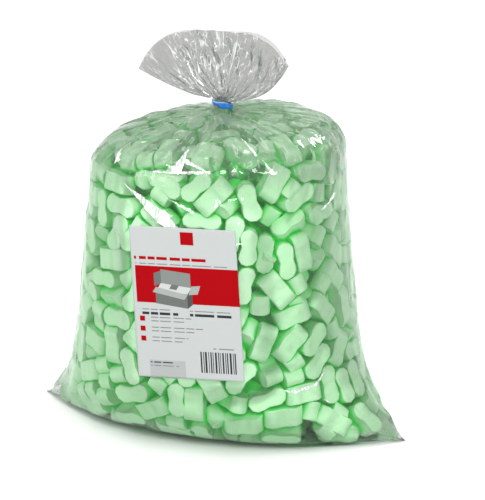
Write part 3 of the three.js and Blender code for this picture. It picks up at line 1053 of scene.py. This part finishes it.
class PEANUTBAG_OT_film(bpy.types.Operator):
    """Draws the film over the foam pieces, gathers its neck and opens the flare above the tie"""

    bl_idname = "peanut_bag.film"
    bl_label = "Film Bag"

    def execute(self, context):
        if "foam" not in STATE:
            raise RuntimeError("settle the foam pieces first")
        # The film's points and rows, and the places of the painted glints drawn on it.
        points, level, along, creases = film_surface(STATE["foam"])
        rows, columns = points.shape[:2]
        # The seal's two sides are one line, so each of its points is shared by the front and the back.
        points[0] = (points[0] + points[0][(-np.arange(columns)) % columns]) / 2
        faces = grid_faces(rows, columns, True)
        shared = np.arange(rows * columns)
        shared[:columns] = np.minimum(np.arange(columns), (-np.arange(columns)) % columns)
        used, welded = np.unique(shared[faces], return_inverse=True)
        obj = put_mesh("film_bag", points.reshape(-1, 3)[used], welded.reshape(faces.shape))
        corner = faces % columns
        row = faces // columns
        u = corner.astype(float)
        u = np.where(u < u.max(axis=1, keepdims=True) - columns / 2, u + columns, u)
        set_uv(obj, np.stack([u / columns * GIRTH / 1000, along[row] / 1000], -1))
        height = points[..., 2]
        aside = np.abs(points[..., 0])
        # The film is slack in the gathered top, the flare, the ears and, a little, at the sides.
        slack = 0.05 + 0.6 * smoothstep(height, SHOULDER, SHOULDER + 64)
        slack = slack + 0.4 * smoothstep(level[:, None], NECK_LEVEL, FLARE_LEVEL)
        slack = slack + 0.3 * smoothstep(aside, 138, 160) * (height < 100) + 0.08 * smoothstep(aside, 85, 120)
        angle = 2 * np.pi * np.arange(columns) / columns
        crumpled = np.clip(slack, 0, 1) * (1 - 0.8 * calm_patches(level, angle))
        # The film is packed thick in the neck and just above the tie.
        packed = smoothstep(level, NECK_LEVEL + 0.5, NECK_LEVEL + 1.5)
        packed = packed * (1 - smoothstep(flare_share(level), 0.04, 0.22))
        slack = np.clip(slack, 0, 1) + 1.2 * packed[:, None]
        for name, values in (("slack", slack), ("crumpled", crumpled)):
            layer = obj.data.attributes.new(name, "FLOAT", "POINT")
            layer.data.foreach_set("value", values.astype(np.float32).ravel()[used])
        obj.data.materials.append(film_material(context.scene.peanut_bag_colours, creases))
        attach(obj, "root")
        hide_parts("bag_film")
        # The bag laid flat is two layers of film, 395 by 552 mm.
        return {"FINISHED"}


class PEANUTBAG_OT_label(bpy.types.Operator):
    """Lays the printed label on the front of the film"""

    bl_idname = "peanut_bag.label"
    bl_label = "Label"

    def execute(self, context):
        columns, rows = 60, 84
        width, height = LABEL_SIZE
        u, v = np.meshgrid(np.linspace(0, width, columns), np.linspace(0, height, rows))
        middle, across, up = label_frame()
        out = np.cross(across, up)
        flat = middle + (u - width / 2)[..., None] * across + (v - height / 2)[..., None] * up
        # The paper is very slightly wavy, by 0.3 mm.
        wave = 0.3 * np.sin(u / 19 + 0.6) * np.sin(v / 31)
        outer = flat + wave[..., None] * out
        inner = outer - 0.18 * out
        points = np.concatenate([outer.reshape(-1, 3), inner.reshape(-1, 3)])
        faces = grid_faces(rows, columns, False)
        count = rows * columns
        rim = np.concatenate(
            [
                np.arange(columns - 1),
                columns - 1 + columns * np.arange(rows - 1),
                count - 1 - np.arange(columns - 1),
                columns * np.arange(rows - 1, 0, -1),
            ]
        )
        after = np.roll(rim, -1)
        sides = np.stack([rim, rim + count, after + count, after], -1)
        all_faces = np.concatenate([faces, faces[:, ::-1] + count, sides])
        obj = put_mesh("front_label_sheet", points, all_faces)
        set_uv(obj, np.stack([u, v], -1).reshape(-1, 2)[all_faces % count] / 1000)
        obj.data.materials.append(paper_material(context.scene.peanut_bag_colours))
        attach(obj, "root")
        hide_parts("front_label")
        return {"FINISHED"}


class PEANUTBAG_OT_tie(bpy.types.Operator):
    """Winds the blue tie round the neck and pinches its ends"""

    bl_idname = "peanut_bag.tie"
    bl_label = "Neck Tie"

    def execute(self, context):
        a = 2 * np.pi * np.arange(96) / 96
        rows = 20
        t = 2 * np.pi * np.arange(rows) / rows
        wide = (1 + np.sin(a + math.radians(68))) / 2
        band = 1.5 + 2.7 * wide + 0.3 * np.sin(5 * a + 1.0)
        thick = 0.95 + 0.15 * np.sin(3 * a)
        tail = np.exp(-((np.angle(np.exp(1j * (a + math.radians(28)))) / 0.16) ** 2))
        radius = NECK_RADIUS + 1.2 + 7.4 * tail
        # A rounded oblong section carried round the neck, pulled out into a pinched tail on one side.
        cy = np.sign(np.cos(t)) * np.abs(np.cos(t)) ** 0.6
        cz = np.sign(np.sin(t)) * np.abs(np.sin(t)) ** 0.5
        r = radius[None] + cy[:, None] * thick[None] * (1 + 0.2 * tail[None])
        z = NECK_HEIGHT + 3.3 - band[None] + cz[:, None] * band[None] * (1 - 0.25 * tail[None])
        points = np.stack([NECK_LEAN + r * np.cos(a)[None], r * np.sin(a)[None], z], -1)
        faces = grid_faces(rows + 1, len(a), True) % (rows * len(a))
        obj = put_mesh("neck_tie_band", points.reshape(-1, 3), faces[:, ::-1])
        obj.data.materials.append(tie_material(context.scene.peanut_bag_colours))
        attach(obj, "root")
        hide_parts("neck_tie")
        return {"FINISHED"}


class PEANUTBAG_OT_stage(bpy.types.Operator):
    """Sets out the pale floor, the soft lights and the camera"""

    bl_idname = "peanut_bag.stage"
    bl_label = "Stage"

    def execute(self, context):
        sizes = context.scene.peanut_bag_sizes
        corners = FLOOR_HALF * np.array([[-1, -1, 0], [1, -1, 0], [1, 1, 0], [-1, 1, 0]], float)
        floor = put_mesh("floor", corners, [[0, 1, 2, 3]])
        mat, tree = new_material("pale_floor")
        paint = node(tree, "ShaderNodeBsdfPrincipled", Base_Color=linear("#E2E2E2"), Roughness=0.9)
        output(tree, paint.outputs[0])
        floor.data.materials.append(mat)
        world = bpy.data.worlds.new("studio")
        context.scene.world = world
        world.use_nodes = True
        for socket, value in zip(world.node_tree.nodes["Background"].inputs, ((1, 1, 1, 1), WORLD_STRENGTH)):
            socket.default_value = value
        for lamp in SOFTBOXES:
            self.lamp(*lamp)
        sun = bpy.data.lights.new("overhead", "SUN")
        sun.energy, sun.angle = 1.15, math.radians(80)
        sky = bpy.data.objects.new("overhead", sun)
        context.scene.collection.objects.link(sky)
        sky.rotation_euler = Vector((0.1, -0.8, 1.5)).to_track_quat("Z", "Y").to_euler()
        az, el, distance = sizes.camera_azimuth, sizes.camera_elevation, sizes.camera_distance
        right = Vector((math.cos(az), math.sin(az), 0))
        toward = Vector((math.sin(az) * math.cos(el), -math.cos(az) * math.cos(el), math.sin(el)))
        up = toward.cross(right)
        aim = right * AIM_RIGHT + up * AIM_UP
        data = bpy.data.cameras.new("camera")
        data.sensor_width = 36
        data.lens = data.sensor_width * distance / VIEW_WIDTH
        data.clip_end = 50
        cam = bpy.data.objects.new("camera", data)
        context.scene.collection.objects.link(cam)
        turn = Matrix((right, up, toward)).transposed().to_4x4()
        cam.matrix_world = Matrix.Translation(aim + toward * distance) @ turn
        context.scene.camera = cam
        context.scene.view_settings.view_transform = "Standard"
        context.scene.cycles.transparent_max_bounces = 32
        context.scene.cycles.diffuse_bounces = 6
        context.scene.cycles.max_bounces = 14
        return {"FINISHED"}

    @staticmethod
    def lamp(name, place, size, power):
        """A square softbox that faces the middle of the bag."""
        data = bpy.data.lights.new(name, "AREA")
        data.size = size
        data.energy = power
        obj = bpy.data.objects.new(name, data)
        bpy.context.scene.collection.objects.link(obj)
        obj.location = place
        way = Vector(place) - Vector((0, 0, 0.18))
        obj.rotation_euler = way.to_track_quat("Z", "Y").to_euler()


class PEANUTBAG_PT_panel(bpy.types.Panel):
    """Lists the bag's pieces and settings"""

    bl_label = "Peanut Bag"
    bl_idname = "PEANUTBAG_PT_panel"
    bl_space_type = "VIEW_3D"
    bl_region_type = "UI"
    bl_category = "Peanut Bag"

    def draw(self, context):
        for step in STEPS:
            self.layout.operator(step.bl_idname)
        for group in (context.scene.peanut_bag_sizes, context.scene.peanut_bag_colours):
            for key in group.__annotations__:
                self.layout.prop(group, key)


STEPS = (PEANUTBAG_OT_stage, PEANUTBAG_OT_foam, PEANUTBAG_OT_film, PEANUTBAG_OT_label, PEANUTBAG_OT_tie)
CLASSES = (PeanutBagColours, PeanutBagSizes, *STEPS, PEANUTBAG_PT_panel)


def register():
    for cls in CLASSES:
        bpy.utils.register_class(cls)
    bpy.types.Scene.peanut_bag_colours = PointerProperty(type=PeanutBagColours)
    bpy.types.Scene.peanut_bag_sizes = PointerProperty(type=PeanutBagSizes)


def unregister():
    del bpy.types.Scene.peanut_bag_sizes
    del bpy.types.Scene.peanut_bag_colours
    for cls in reversed(CLASSES):
        bpy.utils.unregister_class(cls)


def main():
    """Builds every piece in order."""
    register()
    bpy.ops.peanut_bag.stage()
    bpy.ops.peanut_bag.foam()
    bpy.ops.peanut_bag.film()
    bpy.ops.peanut_bag.label()
    bpy.ops.peanut_bag.tie()


if __name__ == "__main__":
    main()
